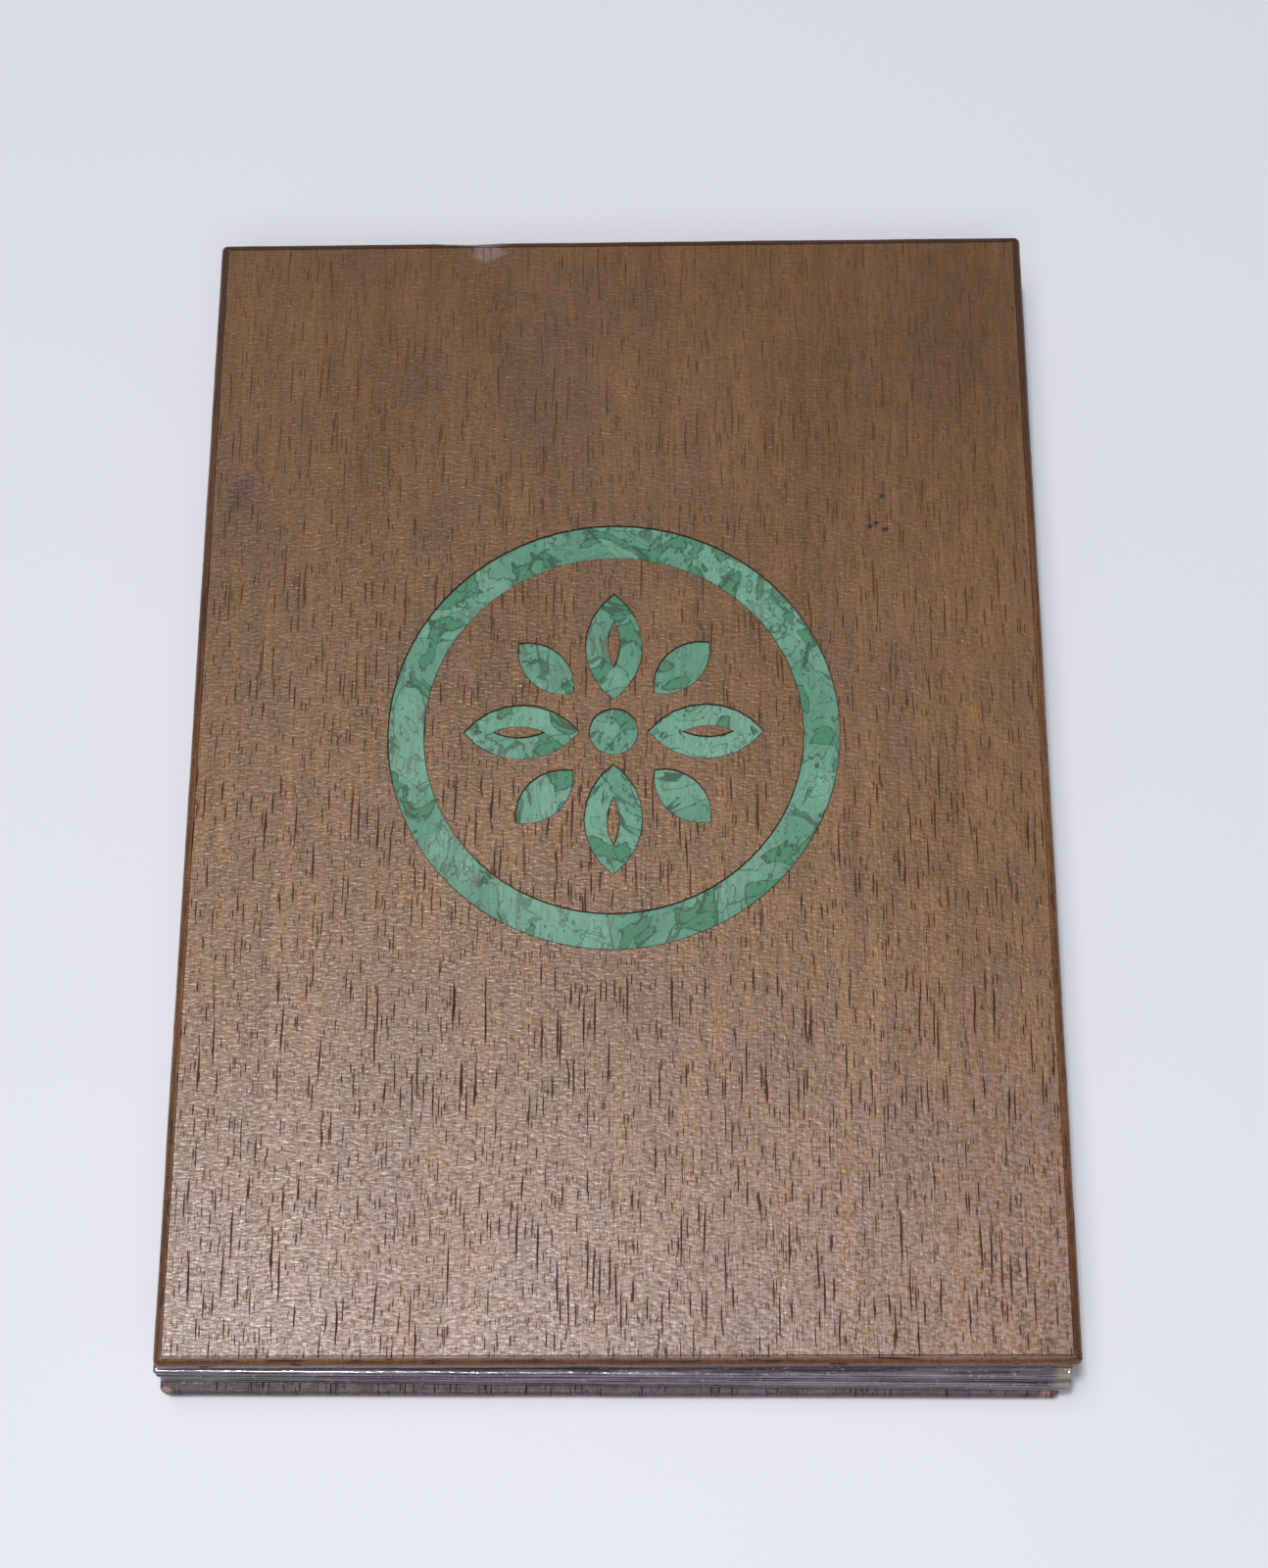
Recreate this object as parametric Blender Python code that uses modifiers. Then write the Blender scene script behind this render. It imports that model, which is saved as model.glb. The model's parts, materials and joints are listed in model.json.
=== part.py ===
"""A screw-bound folder with two wooden cover boards and six clear pocket leaves.

Metres, +Z up. X runs along the binding, Y from the reader to the binding, and the
back board lies on the XY plane with its centre at the origin. The front cover, a
little askew, carries a round inlay. It opens about a leather hinge at the far edge.
"""

import math

import bmesh
import bpy

# Cover boards, the back one a little narrower
FRONT_WIDTH = 0.223
BACK_WIDTH = 0.2214
BOARD_LENGTH = 0.309
BOARD_THICK = 0.0065
BOARD_CORNER = 0.0028
OUTER_ROUND = 0.0017
INNER_ROUND = 0.0007
LIPPING_WIDTH = 0.002
VENEER_THICK = 0.0006
GAP = 0.0003

# The front cover as it lies: its centre, its turn and the height of its inner face
COVER_X = 0.0018
COVER_Y = 0.0046
COVER_TURN = math.radians(0.26)
COVER_FLOOR = 0.0205

# Inlay, measured from the cover's centre
INLAY_X = -0.0011
INLAY_Y = 0.0075
RING_OUTER = 0.0587
RING_INNER = 0.0496
INLAY_THICK = 0.0011
INLAY_SUNK = 0.0005
HUB_RADIUS = 0.0062
LONG_PETAL = {"reach": 0.0240, "half_length": 0.0148, "half_width": 0.0074}
SHORT_PETAL = {"reach": 0.0252, "half_length": 0.0100, "half_width": 0.0052}
ISLAND = {"reach": 0.0246, "half_length": 0.0062, "half_width": 0.0014}
PETAL_COUNT = 4

# Leaves: how each one lies, from the lowest up: turn in degrees, near edge, side step
LEAF_WIDTH = 0.2228
LEAF_CORNER = 0.003
LEAF_THICK = 0.00185
LEAF_PITCH = 0.0022
LEAF_FLOOR = BOARD_THICK + 0.0004
LEAF_LAY = [
    (-0.42, -0.1526, 0.0008),
    (-0.36, -0.1522, 0.0012),
    (-0.40, -0.1524, 0.0015),
    (-0.10, -0.1518, 0.0010),
    (-0.04, -0.1515, 0.0014),
    (-0.12, -0.1517, 0.0012),
]
SLEEVE_WALL = 0.00035
SLEEVE_WELD = 0.003
CARD_THICK = 0.0004
CARD_SLACK = 0.0006

# Turning lines of the leaves, the top one nearest the binding
TOP_TURN_Y = 0.1365
TURN_STEP_Y = 0.0022
NECK = 0.008

# Binding
BINDING_Y = 0.145
POST_X = (-0.085, 0.0, 0.085)
POST_RADIUS = 0.0025
POST_HEAD_RADIUS = 0.005
POST_HEAD = 0.0012
SCREW_RADIUS = 0.0015
MARGIN_DEPTH = 0.0145
MARGIN_THICK = 0.0008
MARGIN_FLOOR = 0.0076
MARGIN_PITCH = MARGIN_THICK + GAP
BAR_LENGTH = 0.206
BAR_DEPTH = 0.013
BAR_THICK = 0.0015
BAR_FLOOR = 0.0145
SCREW_SLOT = 0.001

# Leather hinge: two flanges and the spine between its fold lines
FOLD_Y = 0.1552
LOWER_FOLD_Z = BOARD_THICK + 0.0005
UPPER_FOLD_Z = COVER_FLOOR - 0.0005
HINGE_LENGTH = 0.216
FLANGE_DEPTH = 0.0165
FLANGE_THICK = 0.0005
SPINE_THICK = 0.0005
SPINE_INSET = 0.00015
FOLD_ALLOWANCE = 0.0005

CORNER_STEPS = 5
RING_STEPS = 72
PETAL_STEPS = 8
HOLE_STEPS = 16
FACE_TOP = COVER_FLOOR + BOARD_THICK

COLOURS = {
    "veneer": ((0.20, 0.115, 0.070), 0.42, 0.0),
    "lipping": ((0.130, 0.060, 0.030), 0.35, 0.0),
    "core": ((0.36, 0.24, 0.15), 0.75, 0.0),
    "inlay": ((0.115, 0.350, 0.215), 0.60, 0.2),
    "vinyl": ((0.110, 0.100, 0.110), 0.18, 0.0),
    "card": ((0.55, 0.50, 0.43), 0.80, 0.0),
    "leather": ((0.040, 0.028, 0.022), 0.55, 0.0),
    "steel": ((0.62, 0.62, 0.64), 0.28, 1.0),
    "bar": ((0.50, 0.50, 0.52), 0.35, 1.0),
}


# ---------------------------------------------------------------- scene helpers

def clear_scene():
    """Remove every object that the file holds."""
    for item in list(bpy.data.objects):
        bpy.data.objects.remove(item, do_unlink=True)


def new_collection(name):
    """A collection under the scene's own."""
    collection = bpy.data.collections.new(name)
    bpy.context.scene.collection.children.link(collection)
    return collection


def material(name, kind):
    """A Principled material for one piece."""
    colour, roughness, metallic = COLOURS[kind]
    made = bpy.data.materials.new(name + "_material")
    made.use_nodes = True
    made.diffuse_color = (*colour, 1.0)
    shader = made.node_tree.nodes["Principled BSDF"]
    shader.inputs["Base Color"].default_value = (*colour, 1.0)
    shader.inputs["Roughness"].default_value = roughness
    shader.inputs["Metallic"].default_value = metallic
    return made


def joint_empty(name, y, z):
    """An empty on a fold line that runs along X."""
    empty = bpy.data.objects.new(name, None)
    empty.location = (0.0, y, z)
    PARTS.objects.link(empty)
    return empty


def hang_on(piece, empty):
    """Parent a piece to its joint's empty and leave it where it is."""
    bpy.context.view_layer.update()
    piece.parent = empty
    piece.matrix_parent_inverse = empty.matrix_world.inverted()


# ---------------------------------------------------------------- flat outlines

def arc(x, y, radius, start, end, steps):
    """Points of an arc, angles in degrees."""
    angles = [math.radians(start + (end - start) * i / steps) for i in range(steps + 1)]
    return [(x + radius * math.cos(a), y + radius * math.sin(a)) for a in angles]


def rounded_rectangle(width, length, corner):
    """A rectangle about the origin with rounded corners."""
    x = width / 2 - corner
    y = length / 2 - corner
    points = arc(x, y, corner, 0, 90, CORNER_STEPS)
    points += arc(-x, y, corner, 90, 180, CORNER_STEPS)
    points += arc(-x, -y, corner, 180, 270, CORNER_STEPS)
    points += arc(x, -y, corner, 270, 360, CORNER_STEPS)
    return points


def rectangle(width, length):
    """A rectangle about the origin."""
    x = width / 2
    y = length / 2
    return [(x, y), (-x, y), (-x, -y), (x, -y)]


def circle(radius, steps, x=0.0, y=0.0):
    """A circle as a closed loop."""
    return arc(x, y, radius, 0, 360 - 360 / steps, steps - 1)


def petal(shape, angle, grow=0.0):
    """A pointed oval on a ray from the inlay's centre, offset outwards by grow."""
    bow = (shape["half_length"] ** 2 + shape["half_width"] ** 2) / (2 * shape["half_width"])
    centre = bow - shape["half_width"]
    bow += grow
    half = math.degrees(math.acos(centre / bow))
    upper = arc(shape["reach"], -centre, bow, 90 - half, 90 + half, PETAL_STEPS)
    lower = arc(shape["reach"], centre, bow, 270 - half, 270 + half, PETAL_STEPS)
    loop = upper[:-1] + lower[:-1]
    turn = math.radians(angle)
    return [
        (x * math.cos(turn) - y * math.sin(turn), x * math.sin(turn) + y * math.cos(turn))
        for x, y in loop
    ]


def moved(loop, x, y):
    """A loop shifted in its plane."""
    return [(px + x, py + y) for px, py in loop]


def flat_piece(name, loops, low, high, kind, collection=None, at=(0.0, 0.0), turn=0.0):
    """A flat piece between two heights: outlines and the holes in them."""
    curve = bpy.data.curves.new(name, "CURVE")
    curve.dimensions = "2D"
    curve.fill_mode = "BOTH"
    curve.extrude = (high - low) / 2
    for loop in loops:
        spline = curve.splines.new("POLY")
        spline.points.add(len(loop) - 1)
        for point, (x, y) in zip(spline.points, loop):
            point.co = (x, y, 0.0, 1.0)
        spline.use_cyclic_u = True
    piece = bpy.data.objects.new(name, curve)
    piece.location = (at[0], at[1], (low + high) / 2)
    piece.rotation_euler = (0.0, 0.0, turn)
    (collection or PARTS).objects.link(piece)
    curve.materials.append(material(name, kind))
    return piece


def as_mesh(piece):
    """Turn a curve object into a mesh object with its caps welded on."""
    bpy.context.view_layer.update()
    graph = bpy.context.evaluated_depsgraph_get()
    mesh = bpy.data.meshes.new_from_object(piece.evaluated_get(graph))
    body = bmesh.new()
    body.from_mesh(mesh)
    bmesh.ops.remove_doubles(body, verts=body.verts, dist=1e-7)
    body.to_mesh(mesh)
    body.free()
    name = piece.name
    collection = piece.users_collection[0]
    place = piece.matrix_world.copy()
    bpy.data.objects.remove(piece, do_unlink=True)
    solid = bpy.data.objects.new(name, mesh)
    collection.objects.link(solid)
    solid.matrix_world = place
    return solid


def cut(piece, cutter):
    """Subtract a hidden cutter from a piece."""
    cutter.hide_render = True
    cutter.display_type = "WIRE"
    boolean = piece.modifiers.new("cut_" + cutter.name, "BOOLEAN")
    boolean.operation = "DIFFERENCE"
    boolean.solver = "EXACT"
    boolean.object = cutter


def cutter_prism(name, loops, low, high, at=(0.0, 0.0), turn=0.0):
    """A cutter with flat ends."""
    return as_mesh(flat_piece(name, loops, low, high, "core", CUTTERS, at, turn))


def post_holes(radius):
    """Round holes for the three binding posts."""
    return [circle(radius, HOLE_STEPS, x, BINDING_Y) for x in POST_X]


# ---------------------------------------------------------------- cover boards

def round_edges(piece, level, radius, segments):
    """Round the long edges of a slab that lie at one height."""
    body = bmesh.new()
    body.from_mesh(piece.data)
    rim = [
        edge
        for edge in body.edges
        if all(abs(vertex.co.z - level) < GAP / 10 for vertex in edge.verts)
        and len({face.normal.z > 0.5 or face.normal.z < -0.5 for face in edge.link_faces}) == 2
    ]
    bmesh.ops.bevel(
        body, geom=rim, offset=radius, segments=segments, profile=0.5,
        affect="EDGES", clamp_overlap=True,
    )
    body.to_mesh(piece.data)
    body.free()


def lipping(name, width, low, outer_up, at, turn):
    """The solid-wood band round a board, eased on its outer face and a little on its inner."""
    outline = rounded_rectangle(width, BOARD_LENGTH, BOARD_CORNER)
    band = as_mesh(flat_piece(name, [outline], low, low + BOARD_THICK, "lipping", None, at, turn))
    half = BOARD_THICK / 2
    round_edges(band, half if outer_up else -half, OUTER_ROUND, 3)
    round_edges(band, -half if outer_up else half, INNER_ROUND, 2)
    window = rectangle(width - 2 * LIPPING_WIDTH, BOARD_LENGTH - 2 * LIPPING_WIDTH)
    cut(band, cutter_prism(name + "_window", [window], low - GAP, low + BOARD_THICK + GAP, at, turn))
    return band


def panel_outline(width):
    """The outline of everything that a board's lipping frames."""
    inset = 2 * (LIPPING_WIDTH + GAP)
    return rectangle(width - inset, BOARD_LENGTH - inset)


def petals(shape, grow=0.0):
    """The outlines of one shape on all its rays; short petals stand between long ones."""
    step = 360 / PETAL_COUNT
    first = step / 2 if shape is SHORT_PETAL else 0.0
    return [petal(shape, first + step * i, grow) for i in range(PETAL_COUNT)]


def hub(grow=0.0):
    """The outline of the round hub."""
    return circle(HUB_RADIUS + grow, HOLE_STEPS * 2)


def ring_loops(grow=0.0):
    """The plain ring's two circles."""
    return [circle(RING_OUTER + grow, RING_STEPS), circle(RING_INNER - grow, RING_STEPS)]


def at_inlay(loops):
    """Loops moved from the inlay's centre to their place on the cover."""
    return [moved(loop, INLAY_X, INLAY_Y) for loop in loops]


def inlay_outlines():
    """Each inlaid plate's node name with its loops."""
    plates = {"inlay_ring": ring_loops(), "inlay_hub": [hub()]}
    for i, (outline, hole) in enumerate(zip(petals(LONG_PETAL), petals(ISLAND, GAP))):
        plates[f"inlay_long_petal_{i + 1}"] = [outline, hole]
    for i, outline in enumerate(petals(SHORT_PETAL)):
        plates[f"inlay_short_petal_{i + 1}"] = [outline]
    return plates


def front_board(hinge):
    """The cover board: lipping, core, two veneers and the inlay let into its face."""
    at = (COVER_X, COVER_Y)
    panel = panel_outline(FRONT_WIDTH)
    face_low = FACE_TOP - VENEER_THICK
    core_low = COVER_FLOOR + VENEER_THICK + GAP
    core_high = face_low - GAP
    inlay_high = FACE_TOP - INLAY_SUNK
    inlay_low = inlay_high - INLAY_THICK

    def layer(name, loops, low, high, kind):
        return flat_piece(name, loops, low, high, kind, None, at, COVER_TURN)

    pieces = [lipping("front_lipping", FRONT_WIDTH, COVER_FLOOR, True, at, COVER_TURN)]
    pieces.append(layer("front_inner_veneer", [panel], COVER_FLOOR, COVER_FLOOR + VENEER_THICK, "veneer"))

    core = as_mesh(layer("front_core", [panel], core_low, core_high, "core"))
    openings = petals(LONG_PETAL, GAP) + petals(SHORT_PETAL, GAP) + [hub(GAP)]
    pockets = at_inlay(ring_loops(GAP) + openings + petals(ISLAND))
    cut(core, cutter_prism("front_pockets", pockets, inlay_low - GAP, FACE_TOP, at, COVER_TURN))
    pieces.append(core)

    sheet_hole = at_inlay([circle(RING_OUTER + GAP, RING_STEPS)])
    pieces.append(layer("front_face_veneer", [panel] + sheet_hole, face_low, FACE_TOP, "veneer"))
    roundel = at_inlay([circle(RING_INNER - GAP, RING_STEPS)] + openings)
    pieces.append(layer("front_face_roundel", roundel, face_low, FACE_TOP, "veneer"))
    for i, loop in enumerate(at_inlay(petals(ISLAND))):
        pieces.append(layer(f"petal_island_{i + 1}", [loop], face_low, FACE_TOP, "veneer"))
    for name, loops in inlay_outlines().items():
        pieces.append(layer(name, at_inlay(loops), inlay_low, inlay_high, "inlay"))
    for piece in pieces:
        hang_on(piece, hinge)


def back_board():
    """The back board: lipping, core and two veneers, bored for the binding posts."""
    panel = panel_outline(BACK_WIDTH)
    lipping("back_lipping", BACK_WIDTH, 0.0, False, (0.0, 0.0), 0.0)
    head_holes = post_holes(POST_HEAD_RADIUS + GAP)
    barrel_holes = post_holes(POST_RADIUS + GAP)
    flat_piece("back_face_veneer", [panel] + head_holes, 0.0, VENEER_THICK, "veneer")
    core_low = VENEER_THICK + GAP
    core_high = BOARD_THICK - VENEER_THICK - GAP
    core = as_mesh(flat_piece("back_core", [panel] + barrel_holes, core_low, core_high, "core"))
    sink = GAP + POST_HEAD + GAP
    cut(core, cutter_prism("back_counterbores", head_holes, -GAP, sink))
    flat_piece("back_inner_veneer", [panel] + barrel_holes, BOARD_THICK - VENEER_THICK, BOARD_THICK, "veneer")


# ---------------------------------------------------------------- leaves

def leaf_level(index):
    """Height of a leaf's middle plane where it lies on the stack."""
    return LEAF_FLOOR + LEAF_THICK / 2 + LEAF_PITCH * index


def leaf_turn_y(index):
    """Where a leaf turns, from the reader to the binding."""
    return TOP_TURN_Y - TURN_STEP_Y * (len(LEAF_LAY) - 1 - index)


def leaf(index):
    """One clear pocket leaf and the card in it, on the empty of its turning line."""
    degrees, near_y, side_x = LEAF_LAY[index]
    turn = math.radians(degrees)
    length = leaf_turn_y(index) - NECK - near_y
    level = leaf_level(index)
    hinge = joint_empty(f"leaf_{index + 1}_turn_axis", leaf_turn_y(index), level)
    at = (side_x - math.sin(turn) * length / 2, near_y + math.cos(turn) * length / 2)
    outline = rounded_rectangle(LEAF_WIDTH, length, LEAF_CORNER)
    low = level - LEAF_THICK / 2
    sleeve = as_mesh(flat_piece(f"leaf_{index + 1}_sleeve", [outline], low, low + LEAF_THICK, "vinyl", None, at, turn))
    room = LEAF_WIDTH - 2 * SLEEVE_WELD
    mouth = [moved(rectangle(room, length), 0.0, SLEEVE_WELD)]
    pocket_low = low + SLEEVE_WALL
    pocket_high = low + LEAF_THICK - SLEEVE_WALL
    cut(sleeve, cutter_prism(f"leaf_{index + 1}_pocket", mouth, pocket_low, pocket_high, at, turn))
    card_length = length - SLEEVE_WELD - 2 * CARD_SLACK
    card = [moved(rectangle(room - 2 * CARD_SLACK, card_length), 0.0, SLEEVE_WELD / 2)]
    card_low = level - CARD_THICK / 2
    insert = flat_piece(f"leaf_{index + 1}_card", card, card_low, card_low + CARD_THICK, "card", None, at, turn)
    hang_on(sleeve, hinge)
    hang_on(insert, hinge)


def leaf_margin(index):
    """The punched margin of a leaf, clamped under the binding bar."""
    low = MARGIN_FLOOR + MARGIN_PITCH * index
    outline = moved(rectangle(LEAF_WIDTH, MARGIN_DEPTH), 0.0, BINDING_Y)
    loops = [outline] + post_holes(POST_RADIUS + GAP)
    flat_piece(f"leaf_{index + 1}_margin", loops, low, low + MARGIN_THICK, "vinyl")


# ---------------------------------------------------------------- binding and hinge

def turned(name, profile, x):
    """A steel piece turned about the axis of one post."""
    mesh = bpy.data.meshes.new(name)
    points = [(radius, 0.0, z) for radius, z in profile]
    mesh.from_pydata(points, [(i, i + 1) for i in range(len(points) - 1)], [])
    mesh.materials.append(material(name, "steel"))
    piece = bpy.data.objects.new(name, mesh)
    piece.location = (x, BINDING_Y, 0.0)
    PARTS.objects.link(piece)
    screw = piece.modifiers.new("turn", "SCREW")
    screw.steps = HOLE_STEPS
    screw.render_steps = HOLE_STEPS
    screw.use_merge_vertices = True
    screw.merge_threshold = 1e-6
    screw.use_smooth_shade = True
    return piece


def binding_post(number, x):
    """A barrel post from below, and the slotted screw that closes it from above."""
    bar_top = BAR_FLOOR + BAR_THICK
    barrel_top = bar_top - GAP
    bore = SCREW_RADIUS + GAP
    bore_floor = BOARD_THICK
    head_top = GAP + POST_HEAD
    turned(f"post_barrel_{number}", [
        (0.0, bore_floor), (bore, bore_floor), (bore, barrel_top), (POST_RADIUS, barrel_top),
        (POST_RADIUS, head_top), (POST_HEAD_RADIUS, head_top), (POST_HEAD_RADIUS, GAP), (0.0, GAP),
    ], x)
    screw_low = bar_top + GAP
    screw_top = screw_low + POST_HEAD
    screw = turned(f"post_screw_{number}", [
        (0.0, screw_top), (POST_HEAD_RADIUS, screw_top), (POST_HEAD_RADIUS, screw_low),
        (SCREW_RADIUS, screw_low), (SCREW_RADIUS, bore_floor + GAP), (0.0, bore_floor + GAP),
    ], x)
    slot = [moved(rectangle(3 * POST_HEAD_RADIUS, SCREW_SLOT), x, BINDING_Y)]
    cut(screw, cutter_prism(f"screw_slot_{number}", slot, screw_top - POST_HEAD / 2, screw_top + GAP))


def binding_bar():
    """The flat bar that clamps the leaves' margins."""
    outline = moved(rounded_rectangle(BAR_LENGTH, BAR_DEPTH, LEAF_CORNER), 0.0, BINDING_Y)
    loops = [outline] + post_holes(POST_RADIUS + GAP)
    flat_piece("binding_bar", loops, BAR_FLOOR, BAR_FLOOR + BAR_THICK, "bar")


def leather_hinge(lower_fold, upper_fold):
    """The back flange, the spine and the cover's flange of one leather strip."""
    far = FOLD_Y - SPINE_INSET - SPINE_THICK - FOLD_ALLOWANCE
    outline = moved(rectangle(HINGE_LENGTH, FLANGE_DEPTH), 0.0, far - FLANGE_DEPTH / 2)
    low = BOARD_THICK + GAP
    flat_piece("hinge_back_flange", [outline] + post_holes(POST_RADIUS + GAP), low, low + FLANGE_THICK, "leather")

    spine_y = FOLD_Y - SPINE_INSET - SPINE_THICK / 2
    strip = moved(rectangle(HINGE_LENGTH, SPINE_THICK), 0.0, spine_y)
    spine = flat_piece(
        "hinge_spine", [strip], LOWER_FOLD_Z + FOLD_ALLOWANCE, UPPER_FOLD_Z - FOLD_ALLOWANCE, "leather",
    )
    hang_on(spine, lower_fold)

    high = COVER_FLOOR - GAP
    flange = flat_piece("hinge_front_flange", [outline], high - FLANGE_THICK, high, "leather")
    hang_on(flange, upper_fold)


def build():
    """Model every piece of the folder."""
    lower_fold = joint_empty("spine_fold_axis", FOLD_Y, LOWER_FOLD_Z)
    upper_fold = joint_empty("cover_fold_axis", FOLD_Y, UPPER_FOLD_Z)
    hang_on(upper_fold, lower_fold)
    back_board()
    front_board(upper_fold)
    for index in range(len(LEAF_LAY)):
        leaf_margin(index)
        leaf(index)
    binding_bar()
    for number, x in enumerate(POST_X, start=1):
        binding_post(number, x)
    leather_hinge(lower_fold, upper_fold)


clear_scene()
PARTS = new_collection("wood_board_folder")
CUTTERS = new_collection("cutters")
build()
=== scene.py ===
import json
import math

import bmesh
import bpy
from mathutils import Matrix, Vector, noise


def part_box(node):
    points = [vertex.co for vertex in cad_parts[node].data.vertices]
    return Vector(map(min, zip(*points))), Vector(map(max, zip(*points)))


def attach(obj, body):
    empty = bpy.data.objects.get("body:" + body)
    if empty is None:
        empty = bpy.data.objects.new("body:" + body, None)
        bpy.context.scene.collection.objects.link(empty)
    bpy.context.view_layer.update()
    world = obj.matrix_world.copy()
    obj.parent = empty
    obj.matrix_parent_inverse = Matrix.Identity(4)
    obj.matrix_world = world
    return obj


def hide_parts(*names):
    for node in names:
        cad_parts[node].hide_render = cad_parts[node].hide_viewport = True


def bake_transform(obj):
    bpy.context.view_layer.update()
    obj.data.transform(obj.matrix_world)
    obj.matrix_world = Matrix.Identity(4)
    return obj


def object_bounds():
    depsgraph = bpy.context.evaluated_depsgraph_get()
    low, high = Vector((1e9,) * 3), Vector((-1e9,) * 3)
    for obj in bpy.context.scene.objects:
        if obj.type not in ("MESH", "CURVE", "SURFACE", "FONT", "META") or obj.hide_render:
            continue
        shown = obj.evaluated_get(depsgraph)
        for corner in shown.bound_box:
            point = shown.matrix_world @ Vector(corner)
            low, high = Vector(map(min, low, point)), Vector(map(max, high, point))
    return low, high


# A screw-bound folder with two wooden covers, clear pocket leaves and a green inlay.
# Metres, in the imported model's frame: X along the binding, Y from the reader to the binding.

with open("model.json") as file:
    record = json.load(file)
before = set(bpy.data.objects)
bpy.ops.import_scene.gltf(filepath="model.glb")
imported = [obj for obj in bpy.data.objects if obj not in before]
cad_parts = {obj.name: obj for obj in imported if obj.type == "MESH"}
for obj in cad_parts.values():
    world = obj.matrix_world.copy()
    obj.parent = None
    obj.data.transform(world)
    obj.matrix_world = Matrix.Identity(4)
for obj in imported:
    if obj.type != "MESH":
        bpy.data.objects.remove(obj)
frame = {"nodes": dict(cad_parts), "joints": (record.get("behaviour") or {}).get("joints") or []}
CAD_LOW, CAD_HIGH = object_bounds()

MM = 0.001
LEAVES = 6
POSTS = 3

# Camera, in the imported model's frame: degrees, and the lens in millimetres on a 36 mm sensor
CAMERA_PLACE = (0.0210, -0.2289, 0.6573)
CAMERA_YAW, CAMERA_TILT, CAMERA_ROLL = 3.78, 19.8, -3.69
CAMERA_LENS = 59.6

# Lamps: name, place, width and depth, watts, colour. Each one looks at the frame's origin.
LAMPS = (
    ("ceiling", (-0.24, 0.03, 1.6), (0.90, 0.50), 7.8, (1.0, 0.97, 0.99)),
    ("room_fill", (0.05, -0.85, 1.3), (0.9, 0.5), 5.0, (0.95, 0.97, 1.0)),
)
SUN_WAY = (0.15, -0.02, -1.0)
SUN_POWER = 1.35
SUN_SPREAD = 6
SUN_COLOUR = (0.98, 0.99, 1.0)
ROOM_COLOUR = (0.93, 0.96, 1.0, 1.0)
ROOM_POWER = 0.10

# Table
TABLE_REACH = 2.5
TABLE_DROP = 0.1 * MM

# Edge bands: the rounding of the outer and the inner arris, the band's width, how far its top
# lies below the veneer, and the spacing of the points along it
OUTER_ROUND = 2.1 * MM
INNER_ROUND = 0.7 * MM
BAND_WIDTH = 2.27 * MM
BAND_DROP = 0.06 * MM
BAND_CHAMFER = 0.15 * MM
BAND_SPACING = 2.0 * MM
BOARD_CORNER = 1.7 * MM
CORNER_STEPS = 8
OUTER_STEPS = 8
INNER_STEPS = 5

# The chip in the far edge: where it is along the front board's width from the middle, how far it
# reaches to each side, and how deep it goes
CHIP_SHARE = -0.19
CHIP_REACH = 9 * MM
CHIP_DEPTH = 0.8 * MM

# Bevels of the CAD pieces that are drawn as they are
FACE_BEVEL = 0.14 * MM
INNER_BEVEL = 0.10 * MM
INLAY_BEVEL = 0.16 * MM
CARD_BEVEL = 0.08 * MM
BAR_BEVEL = 0.25 * MM
POST_BEVEL = 0.18 * MM

# Leaves: the welded frame round each pocket, the clear film in it, and the neck behind it. The
# neck overlaps the pocket, and bends from one CREASE beyond the turning line to two before it.
FRAME_WIDTH = 4.2 * MM
FRAME_SPACING = 3.0 * MM
FRAME_STEP = 0.3 * MM
BEAD_RADIUS = 0.74 * MM
BEAD_STEPS = 6
LEAF_CORNER = 0.9 * MM
FILM_HALF = 0.50 * MM
FILM_WAVE = 0.07 * MM
FILM_LAP = 0.2 * MM
FILM_COLUMNS, FILM_ROWS = 40, 52
NECK_THICK = 0.5 * MM
NECK_LAP = 0.6 * MM
NECK_COLUMNS = 30
LEVEL_STEPS, DROP_STEPS, CLAMP_STEPS = 8, 16, 6
CREASE = 0.4 * MM

# Where each joint's axis lies along Y
TURNS = {joint["name"]: joint["pos_m"][1] for joint in frame["joints"]}

# Leather hinge: the strip, the rounding of its folds, and the seam at the middle of the spine
LEATHER_THICK = 0.55 * MM
FOLD_ROUND = 1.2 * MM
SPINE_SEAM = 0.02 * MM
STRIP_STEPS = 48
FLAT_STEPS = 10
FOLD_STEPS = 8


# ---------------------------------------------------------------- materials

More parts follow.
